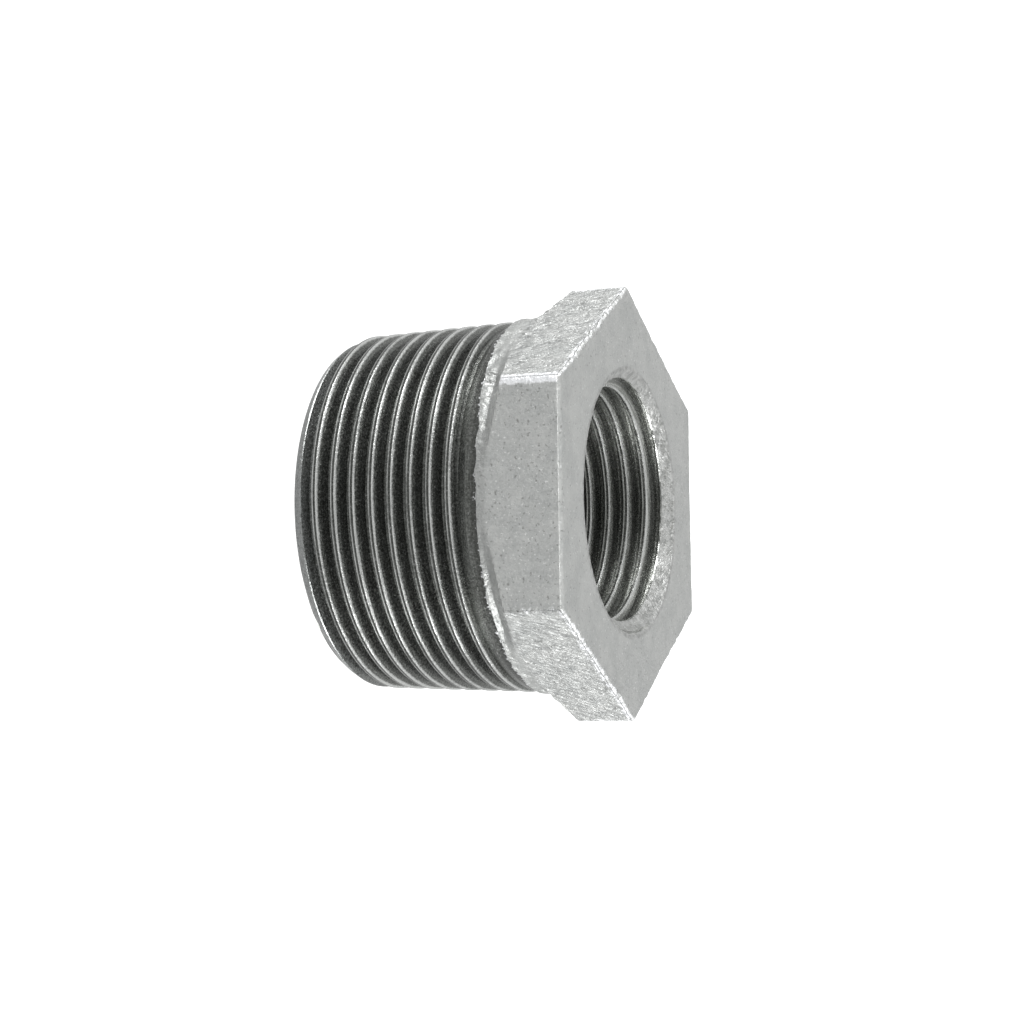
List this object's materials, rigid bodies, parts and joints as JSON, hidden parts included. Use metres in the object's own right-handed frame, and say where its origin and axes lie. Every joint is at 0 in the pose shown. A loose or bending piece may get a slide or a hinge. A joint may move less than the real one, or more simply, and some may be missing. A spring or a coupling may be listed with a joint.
{
  "type": "hex bushing",
  "caption": "Hexagon-headed reducing bushing of galvanised cast iron, with a tapered pipe thread outside and a smaller tapered one inside.",
  "frame": {"origin": "centre of the ring at the male end, on the surface that the bushing stands on", "axes": "+Z along the thread axis, from the male end to the hexagonal face; +Y square to one pair of wrench flats; +X through two corners of the hexagon"},
  "size_m": [0.049, 0.0426, 0.0323],
  "materials": {
    "galvanised_iron": "dull zinc coating on the cast head, dark oiled iron on the cut threads"
  },
  "bodies": {
    "root": {"hex_bushing": "galvanised_iron"}
  },
  "joints": []
}
